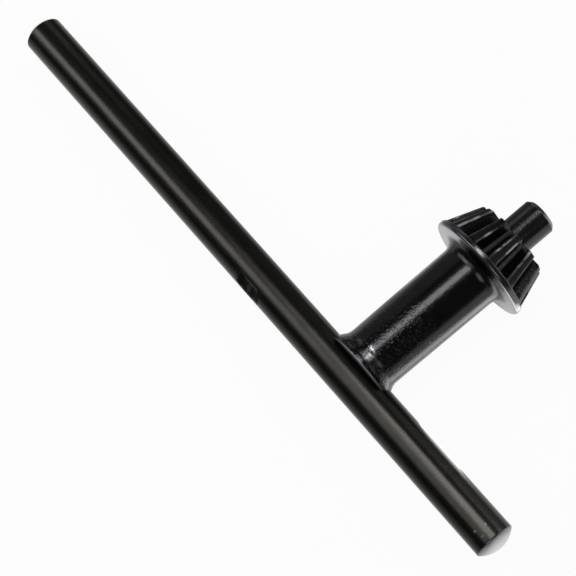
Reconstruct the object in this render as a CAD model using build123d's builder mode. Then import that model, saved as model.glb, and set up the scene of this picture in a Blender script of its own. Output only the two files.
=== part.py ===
"""Drill chuck key: a round cross bar, saddled by a turned key with bevel teeth and a pilot.

The key lies on a flat surface as it comes to rest, on three points: the underside of its collar,
the rim of its flange and the end of the bar's long arm. Z = 0 is that surface.
Stations are heights along the key's own axis, counted from the axis of the bar.
"""
import os
from math import asin, atan, atan2, cos, hypot, radians, sin, tan

from build123d import *

# Handle bar: round stock with domed ends, off centre in the key
bar_diameter = 7.0
long_arm = 85.2
short_arm = 36.4
dome_height = 1.4

# Collar that saddles the bar
collar_diameter = 12.9
collar_foot = 2.1
collar_length = 0.9
collar_slope = 2.1
collar_round = 0.8
saddle_clearance = 0.02

# Shank, with a slight draft that widens towards the flange
shank_foot_diameter = 10.9
shank_head_diameter = 11.3
shoulder_fillet = 1.6
flange_fillet = 2.0

# Flange behind the teeth
flange_station = 27.0
flange_thickness = 1.2
flange_diameter = 19.3
edge_break = 0.25

# Bevel teeth: the heel is the wide end at the flange, the toe is the narrow end at the pilot
tooth_count = 12
tooth_length = 6.4
heel_diameter = 18.7
toe_diameter = 14.2
toe_round = 0.35
heel_gap_width = 3.2
toe_gap_width = 2.5
heel_gap_depth = 2.5
toe_gap_depth = 2.0
flank_angle = 24.0
root_round = 0.4
gap_turn = 4.3

# Pilot that centres the key in the chuck
pilot_diameter = 6.35
pilot_length = 6.6
pilot_chamfer = 0.6

# Radii and stations that follow from the sizes above
bar_radius = bar_diameter / 2
collar_radius = collar_diameter / 2
flange_radius = flange_diameter / 2
heel_radius = heel_diameter / 2
toe_radius = toe_diameter / 2
pilot_radius = pilot_diameter / 2
collar_top = collar_foot + collar_length
shank_foot = collar_top + collar_slope
flange_front = flange_station + flange_thickness
toe_station = flange_front + tooth_length
pilot_tip = toe_station + pilot_length

# Rest: the collar's and the flange's lower edges touch the surface, and set the key's rise
rise = atan((flange_radius - collar_radius) / (flange_station - collar_foot))
bar_height = collar_radius * cos(rise) - (collar_foot + edge_break) * sin(rise)

# The long arm then drops until the edge of its dome touches too
long_edge = long_arm - dome_height
drop = asin(bar_height / hypot(long_edge, bar_radius)) - atan2(bar_radius, long_edge)
roll = asin(sin(drop) / cos(rise))

# Directions of the key's axis and of the bar, towards its short arm
key_direction = Vector(0, cos(rise), sin(rise))
key_upward = Vector(0, -sin(rise), cos(rise))
bar_direction = Vector(1, 0, 0) * cos(roll) + key_upward * sin(roll)

# The origin lies on the surface, under the middle of the whole outline
dome_radius = (bar_radius**2 + dome_height**2) / (2 * dome_height)
left_reach = (long_arm - dome_radius) * bar_direction.X + dome_radius
right_reach = (short_arm - dome_radius) * bar_direction.X + dome_radius
front_reach = bar_radius * hypot(bar_direction.X, bar_direction.Z) - (
    (short_arm - dome_height) * bar_direction.Y
)
back_reach = pilot_tip * cos(rise) + (pilot_radius - pilot_chamfer) * sin(rise)
crossing = Vector((left_reach - right_reach) / 2, (front_reach - back_reach) / 2, bar_height)

# Frames of the two pieces, each with Z along the piece, and the planes of their profiles
key_frame = Plane(crossing, x_dir=bar_direction, z_dir=key_direction)
key_profile = Plane(crossing, x_dir=bar_direction, z_dir=-key_frame.y_dir)
bar_profile = Plane(crossing, x_dir=bar_direction, z_dir=key_frame.y_dir)
bar_section = Plane(crossing, x_dir=key_direction, z_dir=bar_direction)


with BuildPart() as handle_bar:
    with BuildSketch(bar_profile):
        with BuildLine():
            Line((-long_arm, 0), (short_arm, 0))
            long_dome = RadiusArc((-long_arm, 0), (dome_height - long_arm, bar_radius), dome_radius)
            short_dome = RadiusArc((short_arm - dome_height, bar_radius), (short_arm, 0), dome_radius)
            Line(long_dome @ 1, short_dome @ 0)
        make_face()
    revolve(axis=Axis(crossing, bar_direction))


# One gap between two teeth, on the key's own axis: a slot with plane flanks that narrows to the toe
def gap_side(station, tip_radius, gap_width, gap_depth):
    """Where a flank meets the gap's mouth and its root, in the plane square to the key at a station."""
    spread = tan(radians(flank_angle))
    mouth = Vector(tip_radius + gap_width / 2, gap_width / 2 * (1 + spread), station)
    root = Vector(tip_radius - gap_depth, gap_width / 2 - gap_depth * spread, station)
    return mouth, root


heel_mouth, heel_root = gap_side(flange_front, heel_radius, heel_gap_width, heel_gap_depth)
toe_mouth, toe_root = gap_side(toe_station, toe_radius, toe_gap_width, toe_gap_depth)
flank_normal = (toe_root - heel_root).cross(heel_mouth - heel_root)

with BuildPart() as tooth_gap:
    with BuildSketch(Plane.XZ):
        Polygon(*[(p.X, p.Z) for p in (heel_mouth, heel_root, toe_root, toe_mouth)], align=None)
    extrude(amount=heel_mouth.Y, both=True)
    for side in (1, -1):
        flank = Plane(
            (heel_root.X, side * heel_root.Y, heel_root.Z),
            z_dir=(flank_normal.X, side * flank_normal.Y, flank_normal.Z),
        )
        split(bisect_by=flank, keep=Keep.BOTTOM)
    gap_root = tooth_gap.faces().sort_by(Axis.X)[0]
    heel_end = tooth_gap.faces().sort_by(Axis.Z)[0]
    rounded = gap_root.edges().sort_by(Axis.Z)[:-1] + heel_end.edges().sort_by(Axis.X)[1:-1]
    fillet(rounded, root_round)


with BuildPart(key_frame) as key_body:
    with BuildSketch(key_profile):
        with BuildLine():
            outline = FilletPolyline(
                (0, collar_foot),
                (collar_radius - edge_break, collar_foot),
                (collar_radius, collar_foot + edge_break),
                (collar_radius, collar_top),
                (shank_foot_diameter / 2, shank_foot),
                (shank_head_diameter / 2, flange_station),
                (flange_radius - edge_break, flange_station),
                (flange_radius, flange_station + edge_break),
                (flange_radius, flange_front - edge_break),
                (flange_radius - edge_break, flange_front),
                (heel_radius, flange_front),
                (toe_radius, toe_station),
                (pilot_radius, toe_station),
                (pilot_radius, pilot_tip - pilot_chamfer),
                (pilot_radius - pilot_chamfer, pilot_tip),
                (0, pilot_tip),
                radius=[0, 0, collar_round, shoulder_fillet, flange_fillet, 0, 0, 0, 0, 0, toe_round, 0, 0, 0],
            )
            Line(outline @ 1, outline @ 0)
        make_face()
    revolve(axis=Axis(crossing, key_direction))
    with PolarLocations(0, tooth_count, start_angle=gap_turn):
        add(tooth_gap.part, mode=Mode.SUBTRACT)
    with BuildSketch(bar_section):
        Circle(bar_radius + saddle_clearance)
    extrude(amount=collar_radius, both=True, mode=Mode.SUBTRACT)


os.makedirs("parts", exist_ok=True)
for name, piece in (("handle_bar", handle_bar.part), ("key_body", key_body.part)):
    piece.label = name
    export_step(piece, f"parts/{name}.step")
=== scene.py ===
"""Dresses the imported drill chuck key: its bar and its toothed body are modelled and finished here."""
from math import acos, asin, atan2, cos, hypot, pi, radians, sin, sqrt, tan

import bmesh
import bpy
from mathutils import Matrix, Vector


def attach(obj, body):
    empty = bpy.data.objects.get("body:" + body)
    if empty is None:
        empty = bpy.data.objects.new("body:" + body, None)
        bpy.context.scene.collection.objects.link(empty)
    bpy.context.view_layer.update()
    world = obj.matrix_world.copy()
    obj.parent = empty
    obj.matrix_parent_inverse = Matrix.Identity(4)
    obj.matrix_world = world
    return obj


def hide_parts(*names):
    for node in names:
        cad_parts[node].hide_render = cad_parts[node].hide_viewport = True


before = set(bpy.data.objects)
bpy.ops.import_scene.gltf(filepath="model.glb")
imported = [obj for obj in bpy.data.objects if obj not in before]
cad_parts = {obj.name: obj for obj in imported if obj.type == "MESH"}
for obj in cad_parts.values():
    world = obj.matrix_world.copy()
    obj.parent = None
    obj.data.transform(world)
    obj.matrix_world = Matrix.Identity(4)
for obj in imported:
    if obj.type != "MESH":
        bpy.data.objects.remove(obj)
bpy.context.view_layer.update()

bl_info = {
    "name": "Drill chuck key",
    "version": (1, 0, 0),
    "blender": (4, 5, 0),
    "location": "3D View > Sidebar > Chuck key",
    "description": "Models a chuck key with bevel teeth and a cross bar, and lights it on a pale floor",
    "category": "Add Mesh",
}

MM = 0.001
ORIGIN = (0, 0, 0)

# Where the bar's axis and the key's axis cross, and the turns that lay forms drawn along Z on them
CROSSING = Vector((24.388063, -18.776326, 6.097843)) * MM
BAR_DIRECTION = Vector((0.99951079, -0.00398658, 0.03102061))
KEY_DIRECTION = Vector((0.0, 0.99184297, 0.12746576))
UPWARD = BAR_DIRECTION.cross(KEY_DIRECTION)
KEY_TURN = Matrix((BAR_DIRECTION, -UPWARD, KEY_DIRECTION)).transposed()
BAR_TURN = Matrix((KEY_DIRECTION, UPWARD, BAR_DIRECTION)).transposed()

# Places round the bar of its nick and of a bare speck, from the key's direction upwards
NICK_ANGLE = radians(149)
SPECK_ANGLE = radians(118)
SPECK_STATION = 32.4

# The ring of teeth, with its first gap's place round the key and the slope of its flanks
TEETH = 12
PITCH = 2 * pi / TEETH
GAP_TURN = radians(4.3)
FLANK_ANGLE = radians(24)

# Chords in each round of a tooth, and places on its land in pitches from the gap's middle
ROUND_STEPS = 4
LAND = (0.4, 0.45, 0.5)

# Radii in millimetres at the ends of a tooth, and how much more they are in a gap
HEEL_ROUND, HEEL_GAP_MORE = 0.08, 0.3
TOE_ROUND, TOE_GAP_MORE = 0.33, -0.2

# The camera of the photograph
CAMERA_PLACE = Vector((0.094258, -0.078599, 0.280617))
CAMERA_TURN = (0.373098, 0.028659, 0.884224)

# Colours of light, and of the painted shadow that the metal mirrors in the floor
WHITE = (1.0, 1.0, 1.0, 1.0)
NEAR_BLACK = (0.02, 0.02, 0.02, 1.0)

# Soft boxes: name, place, the point it faces, width along X, height, radiance.
# The windows and fills make the highlights of the photograph. The corner lamps light the other sides.
LAMPS = (
    ("window", (-0.0275, -0.07, 0.6), (-0.0275, -0.07, 0.0), 0.115, 0.34, 5.0),
    ("narrow_window", (-0.125, 0.0, 0.6), (-0.125, 0.0, 0.0), 0.08, 0.20, 5.0),
    ("side_window", (-0.34, -0.367, 0.494), (-0.34, -0.02, 0.006), 0.24, 0.28, 2.8),
    ("side_fill", (-0.095, -0.339, 0.513), (-0.095, -0.0188, 0.006), 0.25, 0.519, 1.05),
    ("edge_lamp", (0.041, -0.001, 0.0005), (0.041, -0.001, 0.1), 0.010, 0.028, 3.0),
    ("right_fill", (0.6, 0.0, 0.03), (0.03, 0.0, 0.006), 0.055, 0.8, 0.5),
    ("far_fill", (0.0, 0.45, 0.3), (0.03, 0.0, 0.006), 0.25, 0.4, 0.35),
    ("back_fill", (-0.05, 0.6, 0.16), (-0.02, 0.0, 0.006), 0.4, 0.26, 0.13),
    ("foot_window", (0.0, 0.5, 0.5), (0.024, -0.013, 0.01), 0.06, 0.26, 3.6),
    ("corner_right_far", (0.4, 0.42, 0.42), (0.0, 0.0, 0.006), 0.35, 0.35, 1.0),
    ("corner_right_near", (0.43, -0.36, 0.42), (0.0, 0.0, 0.006), 0.35, 0.35, 1.5),
    ("corner_left_far", (-0.56, 0.38, 0.3), (0.0, 0.0, 0.006), 0.35, 0.35, 0.9),
    ("corner_left_near", (-0.54, -0.34, 0.34), (0.0, 0.0, 0.006), 0.35, 0.35, 1.5),
    ("left_fill", (-0.5, 0.1, 0.2), (0.03, 0.0, 0.006), 0.4, 0.4, 0.2),
)


def length(name, description, default):
    """A size, written in millimetres and kept in metres."""
    return bpy.props.FloatProperty(
        name=name, description=description, default=default * MM, min=0.0, unit="LENGTH", precision=5
    )


def shade(name, description, default):
    """A colour that the panel shows as a swatch."""
    return bpy.props.FloatVectorProperty(
        name=name, description=description, default=default, size=3, min=0.0, max=1.0, subtype="COLOR"
    )


def share(name, description, default):
    """A number from 0 to 1."""
    return bpy.props.FloatProperty(
        name=name, description=description, default=default, min=0.0, max=1.0, subtype="FACTOR"
    )


class BarSizes(bpy.types.PropertyGroup):
    """Sizes of the cross bar. Stations are measured along it from the key's axis."""

    diameter: length("Diameter", "Width of the round bar", 7.0)
    long_arm: length("Long arm", "From the key's axis to the far end", 85.2)
    short_arm: length("Short arm", "From the key's axis to the near end", 36.4)
    dome: length("Dome height", "How far each end bulges", 1.4)
    edge: length("Edge round", "Radius between a dome and the side", 0.25)
    nick_station: length("Nick", "Distance of the nick from the key's axis", 22.1)
    nick_length: length("Nick length", "Length of the nick along the bar", 5.0)
    nick_depth: length("Nick depth", "Depth of the nick", 0.32)
    nick_slope: length("Nick slope", "Length over which each end of the nick slopes", 1.1)


class BodySizes(bpy.types.PropertyGroup):
    """Sizes of the toothed body. Stations are measured along it from the bar's axis."""

    collar_diameter: length("Collar diameter", "Width of the collar", 12.9)
    collar_foot: length("Collar foot", "Station of the collar's foot", 2.1)
    collar_top: length("Collar top", "Station of the collar's widest part", 3.0)
    shank_foot: length("Shank foot", "Station where the shank starts", 4.7)
    shank_foot_diameter: length("Shank foot diameter", "Width of the shank at the collar", 10.9)
    shank_head_diameter: length("Shank head diameter", "Width of the shank at the flange", 11.3)
    flange_station: length("Flange station", "Station of the flange's rear face", 27.0)
    flange_thickness: length("Flange thickness", "Thickness of the flange", 1.2)
    flange_diameter: length("Flange diameter", "Width of the flange", 19.3)
    heel_diameter: length("Heel diameter", "Width over the teeth at the flange", 18.7)
    toe_diameter: length("Toe diameter", "Width over the teeth at the pilot", 14.2)
    tooth_length: length("Tooth length", "Length of the teeth along the key", 6.4)
    gap_width: length("Gap width", "Width of a gap's mouth at the heel", 3.2)
    gap_depth: length("Gap depth", "Depth of a gap at the heel", 2.5)
    pilot_diameter: length("Pilot diameter", "Width of the pilot", 6.35)
    pilot_length: length("Pilot length", "Length of the pilot", 6.6)
    pilot_chamfer: length("Pilot chamfer", "Chamfer at the pilot's tip", 0.6)
    foot_round: length("Foot round", "Radius at the rim of the collar's foot", 0.3)
    collar_round: length("Collar round", "Radius at the collar's widest part", 0.8)
    shank_fillet: length("Shank fillet", "Radius between the collar and the shank", 2.4)
    flange_fillet: length("Flange fillet", "Radius between the shank and the flange", 2.0)
    rear_round: length("Rear round", "Radius at the flange's rear edge", 0.5)
    front_round: length("Front round", "Radius at the flange's front edge", 0.3)
    root_round: length("Root round", "Radius in the corners of a gap", 0.4)
    tooth_round: length("Tooth round", "Radius along the edges of a tooth", 0.28)
    pilot_fillet: length("Pilot fillet", "Radius at the pilot's root", 0.35)
    clearance: length("Clearance", "Play between the collar and the bar", 0.02)


class Finishes(bpy.types.PropertyGroup):
    """Colours and gloss of the black oxide, with some colours painted as shade and light."""

    bar_colour: shade("Bar colour", "Black oxide on the bar", (0.045, 0.044, 0.040))
    bar_roughness: share("Bar roughness", "How satin the bar is", 0.26)
    body_colour: shade("Body colour", "Black oxide on the body", (0.040, 0.040, 0.042))
    body_roughness: share("Body roughness", "How satin the body is", 0.15)
    # Also painted on the collar's foot face as light in its shade
    thin_and_painted_light_colour: shade("Thin colour", "Where the oxide is nearly gone", (0.23, 0.23, 0.245))
    worn_colour: shade("Worn colour", "Thinned oxide on the pilot", (0.06, 0.06, 0.062))
    tooth_colour: shade("Tooth colour", "Oxide on the teeth", (0.022, 0.022, 0.023))
    # Lighter than the teeth: painted light deep in the gaps, where they lie in shade
    gap_painted_light_colour: shade("Gap colour", "Oxide deep in the gaps", (0.05, 0.05, 0.05))
    # The shank's bare patch, placed where the highlight ends: also a painted highlight
    bare_and_highlight_patch_colour: shade("Patch colour", "Bare patch at the foot of the shank", (0.32, 0.32, 0.34))
    bare_colour: shade("Bare colour", "Steel on the edges of the teeth", (0.45, 0.45, 0.46))
    end_rim_colour: shade("End rim colour", "Rim of the bar's short end", (0.13, 0.13, 0.132))
    end_colour: shade("End colour", "Steel in the middle of the short end", (0.65, 0.65, 0.66))
    # Near black painted in the nick as shade
    nick_shade_colour: shade("Nick colour", "Dull black in the nick", (0.004, 0.004, 0.004))


class StageSettings(bpy.types.PropertyGroup):
    """Floor, lamps and camera."""

    floor_colour: shade("Floor colour", "Colour of the floor", (0.8, 0.8, 0.8))
    room_light: bpy.props.FloatProperty(
        name="Room light", description="Strength of the light from all round", default=0.07, min=0.0
    )
    pale_light: bpy.props.FloatProperty(
        name="Pale light", description="White that the camera sees beyond the floor", default=0.97, min=0.0
    )
    white_share: share("White share", "How much of the light of the seen floor is its own white", 0.95)
    sheet_reach: length("Sheet reach", "How far from the bar half of the floor's white is mirrored", 22.0)
    lens: bpy.props.FloatProperty(
        name="Lens", description="Focal length of the camera", default=112.5, min=1.0, unit="CAMERA"
    )


# Modelling in edit mode


def take(piece):
    """Selects one object and nothing else, and makes it active."""
    bpy.ops.object.select_all(action="DESELECT")
    piece.select_set(True)
    bpy.context.view_layer.objects.active = piece


def edit_mesh(piece):
    """The mesh being edited, with its table of vertices ready."""
    mesh = bmesh.from_edit_mesh(piece.data)
    mesh.verts.ensure_lookup_table()
    return mesh


def choose(piece, wanted):
    """Selects the vertices that a test accepts, and the edges and faces between them."""
    mesh = edit_mesh(piece)
    for v in mesh.verts:
        v.select = bool(wanted(v))
    mesh.select_mode = {"VERT"}
    mesh.select_flush_mode()
    bmesh.update_edit_mesh(piece.data)


def rounded(corners, steps):
    """A line through corners (x, y, radius), with an arc of equal chords at each corner that has a radius."""
    points = []
    for i, (x, y, radius) in enumerate(corners):
        corner = Vector((x, y))
        if radius == 0:
            points.append(corner)
            continue
        back = (Vector(corners[i - 1][:2]) - corner).normalized()
        ahead = (Vector(corners[i + 1][:2]) - corner).normalized()
        half = acos(back.dot(ahead)) / 2
        centre = corner + (back + ahead).normalized() * radius / sin(half)
        start = corner + back * radius / tan(half) - centre
        end = corner + ahead * radius / tan(half) - centre
        turn = atan2(start.x * end.y - start.y * end.x, start.dot(end))
        for k in range(steps + 1):
            angle = turn * k / steps
            points.append(centre + Matrix.Rotation(angle, 2) @ start)
    return points


class Turning:
    """A form drawn ring by ring along Z in edit mode, as on a lathe, or one of its equal parts round Z."""

    def __init__(self, name, columns, pole, radius, station, parts=1):
        bpy.ops.object.select_all(action="DESELECT")
        bpy.ops.mesh.primitive_circle_add(vertices=columns, radius=radius, fill_type="TRIFAN")
        self.piece = bpy.context.object
        self.piece.name = self.piece.data.name = name
        bpy.ops.object.mode_set(mode="EDIT")
        bpy.ops.mesh.select_mode(type="VERT")
        if parts > 1:
            step = 2 * pi / columns
            last = 2 * pi / parts + step
            choose(self.piece, lambda v: (atan2(v.co.y, v.co.x) + step / 2) % (2 * pi) > last)
            bpy.ops.mesh.delete(type="VERT")
        bpy.ops.mesh.select_all(action="SELECT")
        bpy.ops.transform.translate(value=(0, 0, pole))
        choose(self.piece, lambda v: hypot(v.co.x, v.co.y) > radius / 2)
        self.radius = radius
        self.station = pole
        self.move(radius, station)

    def move(self, radius, station):
        """Takes what is selected to a station, and scales it about the axis to a radius."""
        bpy.ops.transform.translate(value=(0, 0, station - self.station))
        scale = radius / self.radius
        bpy.ops.transform.resize(value=(scale, scale, 1), center_override=(0, 0, station))
        self.radius, self.station = radius, station

    def rings(self, profile):
        """Extrudes the last ring through the points (radius, station) of a profile."""
        for radius, station in profile:
            bpy.ops.mesh.extrude_region_move()
            self.move(radius, station)

    def shaped_ring(self, places):
        """Extrudes the last ring, and takes its vertices to places in the order of their angles."""
        bpy.ops.mesh.extrude_region_move()
        ring = [v for v in edit_mesh(self.piece).verts if v.select]
        ring.sort(key=lambda v: atan2(v.co.y, v.co.x))
        order = [v.index for v in ring]
        for index, place in zip(order, places, strict=True):
            shift = place - edit_mesh(self.piece).verts[index].co
            choose(self.piece, lambda v: v.index == index)
            bpy.ops.transform.translate(value=shift)
        kept = set(order)
        choose(self.piece, lambda v: v.index in kept)

    def close(self, station):
        """Ends the form in a point on the axis."""
        bpy.ops.mesh.extrude_region_move(TRANSFORM_OT_translate={"value": (0, 0, station - self.station)})
        bpy.ops.transform.resize(value=(0, 0, 1), center_override=(0, 0, station))

    def finish(self, copies=1):
        """Repeats the form about the axis, joins what meets, and turns the faces outwards."""
        bpy.ops.mesh.select_all(action="SELECT")
        if copies > 1:
            turn = 2 * pi * (copies - 1) / copies
            bpy.ops.mesh.spin(steps=copies - 1, dupli=True, angle=turn, center=ORIGIN, axis=(0, 0, 1))
            bpy.ops.mesh.select_all(action="SELECT")
        bpy.ops.mesh.remove_doubles(threshold=0.002 * MM)
        bpy.ops.mesh.normals_make_consistent(inside=False)
        return self.piece


def cut_away(piece, cutter):
    """Takes the cutter's volume out of a piece."""
    take(piece)
    bpy.ops.object.modifier_add(type="BOOLEAN")
    cut = piece.modifiers[-1]
    cut.operation = "DIFFERENCE"
    cut.solver = "EXACT"
    cut.object = cutter
    bpy.ops.object.modifier_apply(modifier=cut.name)
    bpy.data.objects.remove(cutter)


def place(piece, turn):
    """Lays a form drawn along Z in its place, with the place in its mesh."""
    piece.matrix_world = Matrix.Translation(CROSSING) @ turn.to_4x4()
    take(piece)
    bpy.ops.object.transform_apply(location=True, rotation=True, scale=True)


def smooth(piece, angle):
    """Smooth faces with sharp edges above an angle, and flat faces that stay flat beside rounds."""
    take(piece)
    bpy.ops.object.shade_smooth_by_angle(angle=radians(angle))
    bpy.ops.object.modifier_add(type="WEIGHTED_NORMAL")
    piece.modifiers[-1].keep_sharp = True
    bpy.ops.object.modifier_apply(modifier=piece.modifiers[-1].name)


# Materials. Lengths in their nodes are in millimetres on a form's own axes.

# The colour sockets of a Mix node
MIX_FIRST, MIX_SECOND, MIX_RESULT = 6, 7, 2


def overload(operation):
    """An operator and its reflected form, which add the same Math node."""

    def forward(self, other):
        return self.maths(operation, self, other)

    def reflected(self, other):
        return self.maths(operation, other, self)

    return forward, reflected


class Value:
    """An output in a node tree. Python's arithmetic on numbers adds Math nodes."""

    def __init__(self, finish, socket):
        self.finish = finish
        self.socket = socket

    def maths(self, operation, *operands):
        """A Math node on some operands."""
        return self.finish.value("ShaderNodeMath", 0, {"operation": operation}, dict(enumerate(operands)))

    __add__, __radd__ = overload("ADD")
    __sub__, __rsub__ = overload("SUBTRACT")
    __mul__, __rmul__ = overload("MULTIPLY")
    __truediv__, __rtruediv__ = overload("DIVIDE")
    __pow__, __rpow__ = overload("POWER")
    __mod__, __rmod__ = overload("FLOORED_MODULO")

    def __abs__(self):
        return self.maths("ABSOLUTE", self)


class Finish:
    """The nodes of a material or a world, as they are put together."""

    def __init__(self, owner):
        self.owner = owner
        owner.use_nodes = True
        self.tree = owner.node_tree
        self.tree.nodes.clear()

    def node(self, kind, settings=None, sockets=None):
        """A node with its settings, and with the values or links of its sockets."""
        node = self.tree.nodes.new(kind)
        for key, value in (settings or {}).items():
            setattr(node, key, value)
        for key, value in (sockets or {}).items():
            if isinstance(value, Value):
                self.tree.links.new(value.socket, node.inputs[key])
            else:
                node.inputs[key].default_value = value
        return node

    def value(self, kind, output, settings=None, sockets=None):
        """One output of a new node."""
        return Value(self, self.node(kind, settings, sockets).outputs[output])

    def local(self, turn, stretch=(1, 1, 1)):
        """Coordinates on a form's own axes, in millimetres, with Z along it."""
        here = self.value("ShaderNodeTexCoord", "Object")
        return self.value(
            "ShaderNodeMapping",
            "Vector",
            {"vector_type": "TEXTURE"},
            {
                "Vector": here,
                "Location": CROSSING,
                "Rotation": turn.to_euler(),
                "Scale": Vector([MM / k for k in stretch]),
            },
        )

    def noise(self, vector, scale, detail):
        """Soft noise between 0 and 1, with so many lumps to the millimetre."""
        return self.value("ShaderNodeTexNoise", 0, None, {"Vector": vector, "Scale": scale, "Detail": detail})

    def step(self, value, start, end):
        """0 below start, 1 above end, and a smooth rise between."""
        return self.value(
            "ShaderNodeMapRange",
            0,
            {"interpolation_type": "SMOOTHSTEP"},
            {"Value": value, "From Min": start, "From Max": end, "To Min": 0.0, "To Max": 1.0},
        )

    def within(self, value, low, high, soft):
        """1 between two limits and 0 beyond them, with soft edges inside the limits."""
        return self.step(value, low, low + soft) * (1 - self.step(value, high - soft, high))

    def parts(self, vector):
        """The three numbers of a vector."""
        node = self.node("ShaderNodeSeparateXYZ", None, {"Vector": vector})
        return [Value(self, output) for output in node.outputs]

    def beside(self, right, up, angle):
        """How far a place lies to the side of a direction round the axis, and 1 on that direction's side."""
        c, s = cos(angle), sin(angle)
        return abs(up * c - right * s), self.step(right * c + up * s, 0.0, 0.1)

    def highest(self, first, *others):
        """The highest of some numbers."""
        for other in others:
            first = first.maths("MAXIMUM", first, other)
        return first

    def blend(self, factor, first, second):
        """A colour between two others."""
        first, second = [c if isinstance(c, Value) else (*c, 1.0) for c in (first, second)]
        sockets = {"Factor": factor, MIX_FIRST: first, MIX_SECOND: second}
        return self.value("ShaderNodeMix", MIX_RESULT, {"data_type": "RGBA"}, sockets)

    def metal(self, colour, roughness, height, depth):
        """Metal, with a bump of some depth from a height between 0 and 1."""
        bump = {"Height": height, "Distance": depth, "Strength": 1.0}
        normal = self.value("ShaderNodeBump", "Normal", None, bump)
        sockets = {"Base Color": colour, "Metallic": 1.0, "Roughness": roughness, "Normal": normal}
        return self.value("ShaderNodeBsdfPrincipled", 0, None, sockets)

    def mix_shaders(self, factor, first, second):
        """A shader between two others."""
        return self.value("ShaderNodeMixShader", 0, None, {"Fac": factor, 1: first, 2: second})

    def surface(self, shader, kind="ShaderNodeOutputMaterial"):
        """Links the last shader to the output, and gives the finished material or world."""
        self.node(kind, None, {"Surface": shader})
        return self.owner


def around(colour, spread):
    """A darker and a lighter colour, with a spread below and above one."""
    return [c * (1 - spread) for c in colour], [c * (1 + spread) for c in colour]


def bar_finish(settings, sizes):
    """Satin black oxide on drawn bar: faint lines, a soft mottle, a dull nick painted near black as shade,
    and a few bare specks.
    """
    finish = Finish(bpy.data.materials.new("bar_black_oxide"))
    local = finish.local(BAR_TURN)
    key_way, up, station = finish.parts(local)
    streaks = finish.noise(finish.local(BAR_TURN, (1, 1, 0.06)), 2.2, 3.0)
    mottle = finish.noise(local, 0.35, 3.0)
    grain = finish.noise(local, 6.0, 2.0)

    # The nick: painted shade in its colour and a duller gloss, ragged at its borders and lighter at its
    # middle
    half = sizes.nick_length / MM / 2
    along = abs(station + sizes.nick_station / MM)
    across, nick_side = finish.beside(key_way, up, NICK_ANGLE)
    ragged = finish.noise(local, 1.3, 3.0) * 1.6
    in_length = 1 - finish.step(along + ragged, half + 0.7, half + 1.3)
    in_width = 1 - finish.step(across + ragged, 1.5, 2.4)
    bright = 1 - finish.step(along + abs(across - 0.3), 0.2, 0.9)
    nick = in_length * in_width * nick_side * (1 - 0.5 * bright)

    # Faint specks towards the short end, and one that is bare
    specks = finish.step(finish.noise(local, 1.0, 3.0), 0.7, 0.76) * finish.step(station, 24.0, 30.0) * 0.4
    across, speck_side = finish.beside(key_way, up, SPECK_ANGLE)
    along = station - SPECK_STATION
    speck = (1 - finish.step((along * along + across * across) ** 0.5, 0.12, 0.32)) * speck_side

    # The short end, bare at its middle
    rim = (sizes.short_arm - sizes.dome) / MM
    end = finish.step(station, rim - 0.12, rim + 0.05)
    middle = finish.step(station + grain * 0.6, rim + 0.1, rim + 1.7)
    bare = finish.blend(middle, settings.end_rim_colour, settings.end_colour)

    # The noises lie around a half, so the plain metal has the panel's colour and roughness on average
    colour = finish.blend(mottle, *around(settings.bar_colour, 0.2))
    colour = finish.blend(nick, colour, settings.nick_shade_colour)
    colour = finish.blend(finish.highest(specks, speck), colour, settings.thin_and_painted_light_colour)
    colour = finish.blend(end, colour, bare)
    roughness = settings.bar_roughness - 0.06 + streaks * 0.08 + mottle * 0.04 + nick * 0.45
    return finish.surface(finish.metal(colour, roughness, grain * 0.6 + streaks * 0.4, 0.01 * MM))


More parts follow.
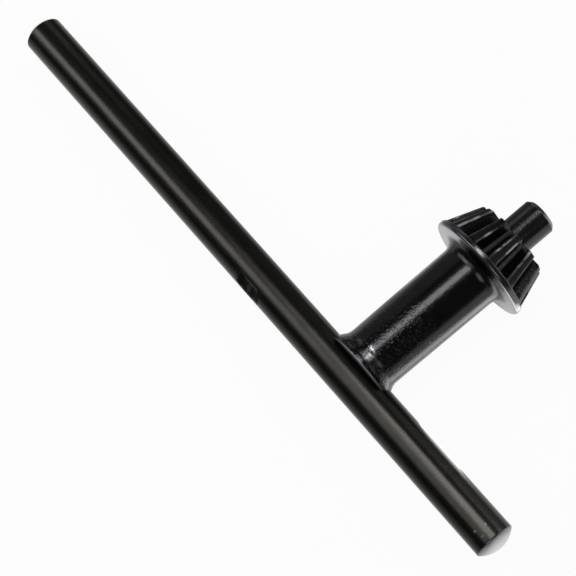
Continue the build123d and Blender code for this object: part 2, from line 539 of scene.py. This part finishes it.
def body_finish(settings, sizes):
    """Glossier black oxide on the turned body: pitted near the collar, rubbed on the teeth and the pilot,
    with painted light deep in the gaps and on the collar's foot face, and a painted highlight at the foot of
    the shank.
    """
    finish = Finish(bpy.data.materials.new("body_black_oxide"))
    local = finish.local(KEY_TURN)
    x, y, station = finish.parts(local)
    radius = (x * x + y * y) ** 0.5
    foot_station = sizes.collar_foot / MM
    collar = sizes.collar_diameter / MM / 2
    flange = sizes.flange_station / MM
    front = (sizes.flange_station + sizes.flange_thickness) / MM
    toe = front + sizes.tooth_length / MM
    pilot_end = toe + sizes.pilot_length / MM

    mottle = finish.noise(local, 0.6, 3.0)
    grain = finish.noise(local, 4.0, 3.0)
    teeth = finish.within(station, front - 0.2, toe + 0.2, 0.3)
    pilot = finish.step(station, toe - 0.1, toe + 0.1)

    # Thin bright lines where the edges of the teeth are rubbed bare
    heel = sizes.heel_diameter / MM / 2
    taper = (sizes.toe_diameter / sizes.heel_diameter - 1) / (sizes.tooth_length / MM)
    tip = heel * (1 + taper * (station - front))
    angle = x.maths("ARCTAN2", y, x) - GAP_TURN
    from_gap = abs((angle + PITCH / 2) % PITCH - PITCH / 2)
    corner = asin(sizes.gap_width / sizes.heel_diameter)
    edge = 1 - finish.step(abs(from_gap - corner) * radius, 0.15, 0.32)
    some = 0.15 + 0.85 * finish.step(finish.noise(local, 0.25, 0.0), 0.5, 0.6)
    rubbed = edge * finish.step(radius - tip, -0.35, -0.15) * teeth * finish.step(mottle, 0.3, 0.55) * some
    # Deep in the gaps the colour is painted lighter, as light where the gaps lie in shade
    gap_painted_light = finish.step(tip - radius, 0.4, 1.0) * teeth

    # Pits, most of them near the collar and on the teeth
    pits = finish.step(finish.noise(local, 2.4, 2.0), 0.5, 0.72)
    pitted = 0.25 + 0.75 * (1 - finish.step(station, 13.0, 19.0)) + teeth * 0.75

    # Where the oxide is thin: the flange's rear face and rim and the pilot's tip, and the collar's foot,
    # which is thin at its rim and painted light on its face, where the bar shades it
    rear = finish.within(station, flange - 0.3, flange + 0.25, 0.2) * finish.step(radius, 6.8, 7.4)
    rim = finish.within(station, flange, front, 0.1) * finish.step(radius, heel - 0.05, heel + 0.15)
    foot_rim = finish.step(radius, collar - 0.35, collar - 0.15)
    foot = (1 - finish.step(station, foot_station + 0.2, foot_station + 0.4)) * (0.4 + 0.6 * foot_rim)
    tip_edge = finish.step(station, pilot_end - 0.7, pilot_end - 0.55) * finish.step(radius, 2.3, 2.6)
    thin_and_painted_light = finish.highest(rear, rim * 0.35, foot, tip_edge)

    # A bare patch at the foot of the shank, placed on the upper side where the lamp's highlight ends, so that
    # it is also a painted highlight
    upper = finish.within(x / radius, -0.1, 0.34, 0.1) * finish.step(0 - y, 0.0, 0.5)
    bare_and_highlight_patch = upper * finish.within(station + mottle * 1.2, 3.6, 6.3, 0.5)

    colour = finish.blend(mottle, *around(settings.body_colour, 0.2))
    colour = finish.blend(teeth, colour, settings.tooth_colour)
    colour = finish.blend(pilot, colour, settings.worn_colour)
    colour = finish.blend(gap_painted_light, colour, settings.gap_painted_light_colour)
    colour = finish.blend(thin_and_painted_light, colour, settings.thin_and_painted_light_colour)
    colour = finish.blend(bare_and_highlight_patch, colour, settings.bare_and_highlight_patch_colour)
    colour = finish.blend(rubbed, colour, settings.bare_colour)
    roughness = settings.body_roughness + mottle * 0.08 + teeth * 0.15 + pilot * 0.04
    roughness = roughness + rubbed * 0.1 + foot * 0.35
    return finish.surface(finish.metal(colour, roughness, grain * 0.3 + (1 - pits * pitted), 0.022 * MM))


# Pieces


def dome_points(radius, height, steps):
    """Points (radius, height above the rim) of a dome from its pole outwards, without pole and rim."""
    sphere = (radius * radius + height * height) / (2 * height)
    widest = asin(radius / sphere)
    angles = [widest * k / steps for k in range(1, steps)]
    return [(sphere * sin(a), sphere * cos(a) - (sphere - height)) for a in angles]


class CHUCKKEY_OT_bar(bpy.types.Operator):
    """Model the cross bar with its domed ends and its nick"""

    bl_idname = "chuck_key.bar"
    bl_label = "Cross bar"

    def execute(self, context):
        sizes = context.scene.chuck_key_bar
        radius = sizes.diameter / 2
        dome = dome_points(radius, sizes.dome, 14)
        left = sizes.dome - sizes.long_arm
        right = sizes.short_arm - sizes.dome
        corners = [(r, left - h, 0) for r, h in dome]
        corners += [(radius, left, sizes.edge), (radius, right, sizes.edge)]
        corners += [(r, right + h, 0) for r, h in reversed(dome)]
        profile = rounded(corners, 4)

        # The side's long straight run gets rings of its own
        half = len(profile) // 2
        start, end = profile[half - 1].y, profile[half].y
        slices = 280
        profile[half:half] = [Vector((radius, start + (end - start) * k / slices)) for k in range(1, slices)]
        form = Turning("cross_bar", 144, -sizes.long_arm, *profile[0])
        form.rings(profile[1:])
        form.close(sizes.short_arm)
        bar = form.finish()
        bpy.ops.object.mode_set(mode="OBJECT")

        # The nick is cut with a block whose ends slope
        proud = 1.0 * MM
        middle = radius - sizes.nick_depth + proud / 2
        spot = Vector((middle * cos(NICK_ANGLE), middle * sin(NICK_ANGLE), -sizes.nick_station))
        floor = sizes.nick_length - 2 * sizes.nick_slope
        bpy.ops.object.select_all(action="DESELECT")
        bpy.ops.mesh.primitive_cube_add(
            size=1.0, location=spot, rotation=(0, 0, NICK_ANGLE), scale=(proud, sizes.diameter, floor)
        )
        cutter = context.object
        bpy.ops.object.mode_set(mode="EDIT")
        choose(cutter, lambda v: v.co.x > 0)
        widened = 1 + 2 * sizes.nick_slope / sizes.nick_depth * proud / floor
        bpy.ops.transform.resize(value=(1, 1, widened), center_override=spot)
        bpy.ops.object.mode_set(mode="OBJECT")
        cut_away(bar, cutter)
        place(bar, BAR_TURN)
        smooth(bar, 18)
        bar.data.materials.clear()
        bar.data.materials.append(bar_finish(context.scene.chuck_key_finishes, sizes))
        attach(bar, "root")
        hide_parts("handle_bar")
        return {"FINISHED"}


def tooth_outline(sizes):
    """Half a gap and half a tooth at the heel, from the gap's middle to the tooth's, with the gap along X."""
    tip = sizes.heel_diameter / 2
    spread = tan(FLANK_ANGLE)
    root = tip - sizes.gap_depth
    half_gap = sizes.gap_width / 2
    half_root = half_gap - sizes.gap_depth * spread
    corner_x = sqrt(tip**2 - half_gap**2)
    corner_y = half_gap - (tip - corner_x) * spread
    land = [Vector((tip * cos(k * PITCH), tip * sin(k * PITCH))) for k in LAND]
    corners = [(root, 0, 0), (root, half_root, sizes.root_round)]
    corners += [(corner_x, corner_y, sizes.tooth_round), (*land[0], 0)]
    line = rounded(corners, ROUND_STEPS)
    flank_start, flank_end = line[ROUND_STEPS + 1 : ROUND_STEPS + 3]
    points = line[: ROUND_STEPS + 2]
    points += [flank_start.lerp(flank_end, k / 4) for k in (1, 2, 3)]
    return points + line[ROUND_STEPS + 2 : -1] + land


def outward(points):
    """Unit normals of an outline that starts and ends on mirror planes, pointing out of the metal."""
    normals = []
    for i, here in enumerate(points):
        before = points[max(i - 1, 0)]
        after = points[min(i + 1, len(points) - 1)]
        along = (after - before).normalized()
        normals.append(Vector((along.y, -along.x)))
    normals[0] = Vector((1, 0))
    normals[-1] = points[-1].normalized()
    return normals


def tooth_rings(form, sizes, outline):
    """Draws one pitch of the teeth: a fillet at the heel, the flanks, and a round at the toe."""
    half = len(outline) - 1
    front = sizes.flange_station + sizes.flange_thickness
    toe = front + sizes.tooth_length
    normals = outward(outline)
    taper = (sizes.toe_diameter / sizes.heel_diameter - 1) / sizes.tooth_length

    # 1 in the gap, falling along the tooth's round to 0 on its land
    gap_share = [min(1.0, max(0.0, (half - len(LAND) - i) / ROUND_STEPS)) for i in range(half + 1)]
    heel_rounds = [(HEEL_ROUND + HEEL_GAP_MORE * s) * MM for s in gap_share]
    toe_rounds = [(TOE_ROUND + TOE_GAP_MORE * s) * MM for s in gap_share]

    def ring(moves):
        """A ring round one pitch, from (offset, station) of each point of the outline."""
        gap_side = []
        for point, normal, (offset, station) in zip(outline, normals, moves, strict=True):
            gap_side.append((point * (1 + taper * (station - front)) + normal * offset, station))
        places = []
        for sign, order in ((-1, gap_side[::-1]), (1, gap_side[1:])):
            for flat, station in order:
                spun = Matrix.Rotation(PITCH / 2, 2) @ Vector((flat.x, sign * flat.y))
                places.append(Vector((*spun, station)))
        form.shaped_ring(places)

    angles = [pi / 2 * k / ROUND_STEPS for k in range(ROUND_STEPS + 1)]
    for a in angles:
        ring([(r * (1 - sin(a)), front + r * (1 - cos(a))) for r in heel_rounds])
    slices = 6
    for k in range(1, slices):
        ring([(0.0, front + sizes.tooth_length * k / slices)] * (half + 1))
    for a in angles:
        ring([(-r * (1 - cos(a)), toe - r * (1 - sin(a))) for r in toe_rounds])


class CHUCKKEY_OT_body(bpy.types.Operator):
    """Model the collar, shank, flange, bevel teeth and pilot as one turned body"""

    bl_idname = "chuck_key.body"
    bl_label = "Toothed body"

    def execute(self, context):
        sizes = context.scene.chuck_key_body
        outline = tooth_outline(sizes)
        columns = 2 * (len(outline) - 1)
        front = sizes.flange_station + sizes.flange_thickness
        toe = front + sizes.tooth_length
        tip = toe + sizes.pilot_length
        collar = sizes.collar_diameter / 2
        flange = sizes.flange_diameter / 2
        turned = [
            (0.6 * collar, sizes.collar_foot, 0),
            (collar, sizes.collar_foot, sizes.foot_round),
            (collar, sizes.collar_top, sizes.collar_round),
            (sizes.shank_foot_diameter / 2, sizes.shank_foot, sizes.shank_fillet),
            (sizes.shank_head_diameter / 2, sizes.flange_station, sizes.flange_fillet),
            (flange, sizes.flange_station, sizes.rear_round),
            (flange, front, sizes.front_round),
            (0.5 * (flange + sizes.heel_diameter / 2), front, 0),
        ]
        turned = rounded(turned, 8)
        form = Turning("toothed_body", TEETH * columns, sizes.collar_foot, *turned[0], parts=TEETH)
        form.rings(turned[1:])
        tooth_rings(form, sizes, outline)

        # The toe's face, from the teeth in to the pilot's fillet
        pilot = sizes.pilot_diameter / 2
        foot = pilot + sizes.pilot_fillet
        even = [PITCH * k / columns for k in range(columns + 1)]
        form.shaped_ring([Vector((foot * cos(a), foot * sin(a), toe)) for a in even])
        form.radius, form.station = foot, toe
        pin = [
            (foot, toe, 0),
            (pilot, toe, 0.999 * sizes.pilot_fillet),
            (pilot, tip - sizes.pilot_chamfer, 0.25 * MM),
            (pilot - sizes.pilot_chamfer, tip, 0.15 * MM),
            (0.5 * pilot, tip, 0),
        ]
        form.rings(rounded(pin, 6)[1:])
        form.close(tip)
        body = form.finish(copies=TEETH)
        bpy.ops.mesh.select_all(action="SELECT")
        bpy.ops.transform.rotate(value=PITCH / 2 - GAP_TURN, orient_axis="Z", center_override=ORIGIN)

        # The saddle for the bar
        bpy.ops.object.mode_set(mode="OBJECT")
        bpy.ops.object.select_all(action="DESELECT")
        bpy.ops.mesh.primitive_cylinder_add(
            vertices=160,
            radius=context.scene.chuck_key_bar.diameter / 2 + sizes.clearance,
            depth=3 * sizes.collar_diameter,
            rotation=(0, pi / 2, 0),
        )
        cut_away(body, context.object)
        place(body, KEY_TURN)
        smooth(body, 40)
        body.data.materials.clear()
        body.data.materials.append(body_finish(context.scene.chuck_key_finishes, sizes))
        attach(body, "root")
        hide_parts("key_body")
        return {"FINISHED"}


def floor_finish(settings):
    """A pale floor. In the metal it is a painted reflection: white in a band under the bar and in two fields
    beside the shank, and near black elsewhere as painted shadow.
    """
    finish = Finish(bpy.data.materials.new("pale_floor"))
    rays = finish.node("ShaderNodeLightPath").outputs
    camera_ray, glossy_ray, clear_ray = [
        Value(finish, rays[name]) for name in ("Is Camera Ray", "Is Glossy Ray", "Is Transmission Ray")
    ]
    across, along, _ = finish.parts(finish.value("ShaderNodeTexCoord", "Object"))

    # Places on the floor, in metres
    bar_line = CROSSING.y
    # Painted reflections: glossy rays see white in a band along the bar that fades with distance, and in two
    # fields beside the shank
    band = 1 / (1 + (abs(along - bar_line) / settings.sheet_reach) ** 1.5)
    right = finish.step(across, 0.024, 0.032) * finish.step(along, bar_line - 0.002, bar_line + 0.006)
    left = finish.within(across, -0.005, 0.022, 0.008) * finish.within(along, -0.006, 0.018, 0.008)
    seen = finish.highest(camera_ray, clear_ray, glossy_ray * finish.highest(band, right, left))

    matt = finish.value("ShaderNodeBsdfDiffuse", 0, None, {"Color": (*settings.floor_colour, 1.0)})
    painted_shadow = finish.value("ShaderNodeBsdfDiffuse", 0, None, {"Color": NEAR_BLACK})
    white = finish.value("ShaderNodeEmission", 0, None, {"Color": WHITE, "Strength": 1.0})
    # Elsewhere glossy rays see a near black floor, a painted shadow in the metal
    matt_with_painted_shadow = finish.mix_shaders(glossy_ray, matt, painted_shadow)
    return finish.surface(finish.mix_shaders(seen * settings.white_share, matt_with_painted_shadow, white))


def room_finish(settings):
    """Dim light from all round, and white where the camera looks past the floor."""
    finish = Finish(bpy.data.worlds.new("room"))
    camera_ray = finish.value("ShaderNodeLightPath", "Is Camera Ray")
    strengths = settings.room_light, settings.pale_light
    dim, pale = [
        finish.value("ShaderNodeBackground", 0, None, {"Color": WHITE, "Strength": s}) for s in strengths
    ]
    return finish.surface(finish.mix_shaders(camera_ray, dim, pale), "ShaderNodeOutputWorld")


class CHUCKKEY_OT_stage(bpy.types.Operator):
    """Lay the floor, and set the lamps and the camera"""

    bl_idname = "chuck_key.stage"
    bl_label = "Stage"

    def execute(self, context):
        settings = context.scene.chuck_key_stage
        scene = context.scene
        scene.view_settings.view_transform = "Standard"

        bpy.ops.object.select_all(action="DESELECT")
        bpy.ops.mesh.primitive_circle_add(vertices=96, radius=3.0, fill_type="NGON", location=ORIGIN)
        floor = context.object
        floor.name = floor.data.name = "floor"
        floor.data.materials.append(floor_finish(settings))
        scene.world = room_finish(settings)

        camera_data = bpy.data.cameras.new("camera")
        camera_data.sensor_width = 36.0
        camera_data.lens = settings.lens
        camera_data.clip_start = 0.01
        camera = bpy.data.objects.new("camera", camera_data)
        scene.collection.objects.link(camera)
        camera.location = CAMERA_PLACE
        camera.rotation_euler = CAMERA_TURN
        scene.camera = camera
        context.view_layer.update()

        for name, spot, aim, width, height, radiance in LAMPS:
            back = (Vector(spot) - Vector(aim)).normalized()
            across = (Vector((1, 0, 0)) - back * back.x).normalized()
            turn = Matrix((across, back.cross(across), back)).transposed()
            bpy.ops.object.light_add(type="AREA", location=spot, rotation=turn.to_euler())
            lamp = context.object
            lamp.name = lamp.data.name = name
            lamp.data.shape = "RECTANGLE"
            lamp.data.size = width
            lamp.data.size_y = height
            lamp.data.energy = radiance * pi * width * height
            lamp.visible_camera = False
        return {"FINISHED"}


class CHUCKKEY_PT_panel(bpy.types.Panel):
    """Sizes and finishes of the chuck key, and the steps that make it"""

    bl_idname = "CHUCKKEY_PT_panel"
    bl_label = "Chuck key"
    bl_space_type = "VIEW_3D"
    bl_region_type = "UI"
    bl_category = "Chuck key"

    def draw(self, context):
        for group, label, operator in PANEL_ROWS:
            settings = getattr(context.scene, group)
            box = self.layout.box()
            box.label(text=label)
            for name in type(settings).__annotations__:
                box.prop(settings, name)
            if operator:
                box.operator(operator)


PANEL_ROWS = (
    ("chuck_key_finishes", "Finishes", None),
    ("chuck_key_bar", "Cross bar", "chuck_key.bar"),
    ("chuck_key_body", "Toothed body", "chuck_key.body"),
    ("chuck_key_stage", "Stage", "chuck_key.stage"),
)
GROUPS = {
    "chuck_key_finishes": Finishes,
    "chuck_key_bar": BarSizes,
    "chuck_key_body": BodySizes,
    "chuck_key_stage": StageSettings,
}
CLASSES = (*GROUPS.values(), CHUCKKEY_OT_bar, CHUCKKEY_OT_body, CHUCKKEY_OT_stage, CHUCKKEY_PT_panel)


def register():
    """Adds the classes and the settings to Blender."""
    for cls in CLASSES:
        bpy.utils.register_class(cls)
    for name, group in GROUPS.items():
        setattr(bpy.types.Scene, name, bpy.props.PointerProperty(type=group))


def unregister():
    """Takes them out again."""
    for name in GROUPS:
        delattr(bpy.types.Scene, name)
    for cls in reversed(CLASSES):
        bpy.utils.unregister_class(cls)


def main():
    """Makes the pieces and the stage."""
    register()
    bpy.ops.chuck_key.bar()
    bpy.ops.chuck_key.body()
    bpy.ops.chuck_key.stage()


if __name__ == "__main__":
    main()
